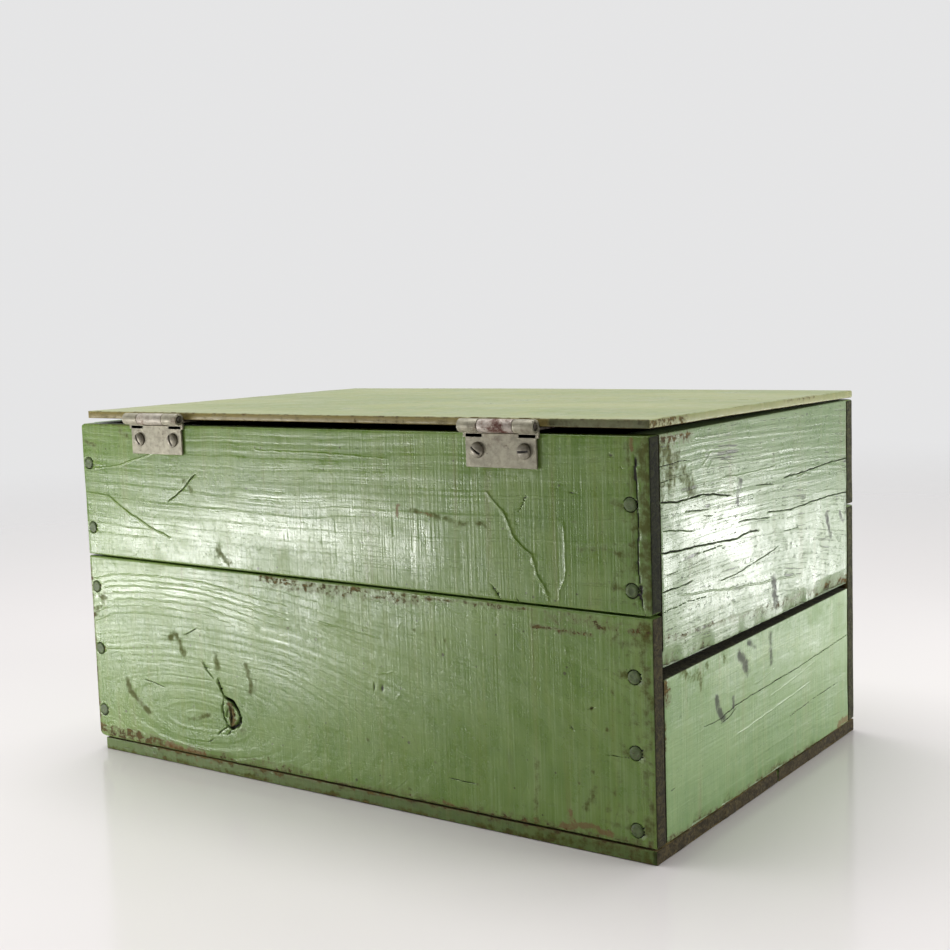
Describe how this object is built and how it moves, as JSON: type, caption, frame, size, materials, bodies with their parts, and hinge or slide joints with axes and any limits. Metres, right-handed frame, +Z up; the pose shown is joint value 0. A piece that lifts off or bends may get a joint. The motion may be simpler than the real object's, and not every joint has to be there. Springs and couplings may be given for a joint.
{
  "type": "hinged lid wooden cash box",
  "caption": "Small nailed box of thin green-painted boards with a thin lid on two steel butt hinges and a hasp and staple at the front.",
  "frame": {"origin": "centre of the bounding box's underside, which is the plane the box stands on", "axes": "+Z up, X along the long side, the hasp and front wall at -Y and the hinges and back wall at +Y"},
  "size_m": [0.366, 0.2588, 0.197],
  "materials": {
    "painted_board": "old brushed green gloss paint over softwood, worn at the edges",
    "lid_board": "faded yellow-green paint, satin, bare brown along the edges",
    "bottom_board": "bare dark softwood end grain, green paint on the long edges",
    "pale_steel": "worn pale paint over rusting pressed steel",
    "pin_steel": "dull dark steel",
    "painted_nail": "steel nail head painted over in green"
  },
  "bodies": {
    "box": {"back_board_lower": "painted_board", "back_board_upper": "painted_board", "bottom_board_back": "bottom_board", "bottom_board_front": "bottom_board", "front_board_lower": "painted_board", "front_board_upper": "painted_board", "left_end_lower": "painted_board", "left_end_upper": "painted_board", "left_hinge_back_leaf": "pale_steel", "left_hinge_pin": "pin_steel", "left_hinge_screw_1": "pale_steel", "left_hinge_screw_2": "pale_steel", "nail_back_lower_left_1": "painted_nail", "nail_back_lower_left_2": "painted_nail", "nail_back_lower_left_3": "painted_nail", "nail_back_lower_right_1": "painted_nail", "nail_back_lower_right_2": "painted_nail", "nail_back_lower_right_3": "painted_nail", "nail_back_upper_left_1": "painted_nail", "nail_back_upper_left_2": "painted_nail", "nail_back_upper_right_1": "painted_nail", "nail_back_upper_right_2": "painted_nail", "nail_bottom_back_left": "painted_nail", "nail_bottom_back_right": "painted_nail", "nail_bottom_front_left": "painted_nail", "nail_bottom_front_right": "painted_nail", "nail_front_lower_left_1": "painted_nail", "nail_front_lower_left_2": "painted_nail", "nail_front_lower_left_3": "painted_nail", "nail_front_lower_right_1": "painted_nail", "nail_front_lower_right_2": "painted_nail", "nail_front_lower_right_3": "painted_nail", "nail_front_upper_left_1": "painted_nail", "nail_front_upper_left_2": "painted_nail", "nail_front_upper_right_1": "painted_nail", "nail_front_upper_right_2": "painted_nail", "right_end_lower": "painted_board", "right_end_upper": "painted_board", "right_hinge_back_leaf": "pale_steel", "right_hinge_pin": "pin_steel", "right_hinge_screw_1": "pale_steel", "right_hinge_screw_2": "pale_steel", "staple_loop": "pale_steel", "staple_plate": "pale_steel", "staple_screw_1": "pale_steel", "staple_screw_2": "pale_steel"},
    "lid": {"hasp_lid_leaf": "pale_steel", "hasp_pin": "pin_steel", "hasp_tack_1": "pale_steel", "hasp_tack_2": "pale_steel", "left_hinge_lid_leaf": "pale_steel", "left_hinge_tack_1": "pale_steel", "left_hinge_tack_2": "pale_steel", "lid_panel": "lid_board", "right_hinge_lid_leaf": "pale_steel", "right_hinge_tack_1": "pale_steel", "right_hinge_tack_2": "pale_steel"},
    "hasp": {"hasp_strap": "pale_steel"}
  },
  "joints": [
    {"name": "lid_hinge", "type": "hinge", "parent": "box", "child": "lid", "pos_m": [0, 0.12625, 0.1934], "axis": [-1, 0, 0], "range_deg": [0, 230]},
    {"name": "hasp_hinge", "type": "hinge", "parent": "lid", "child": "hasp", "pos_m": [-0.011, -0.11775, 0.1912], "axis": [-1, 0, 0], "range_deg": [0, 195]}
  ]
}
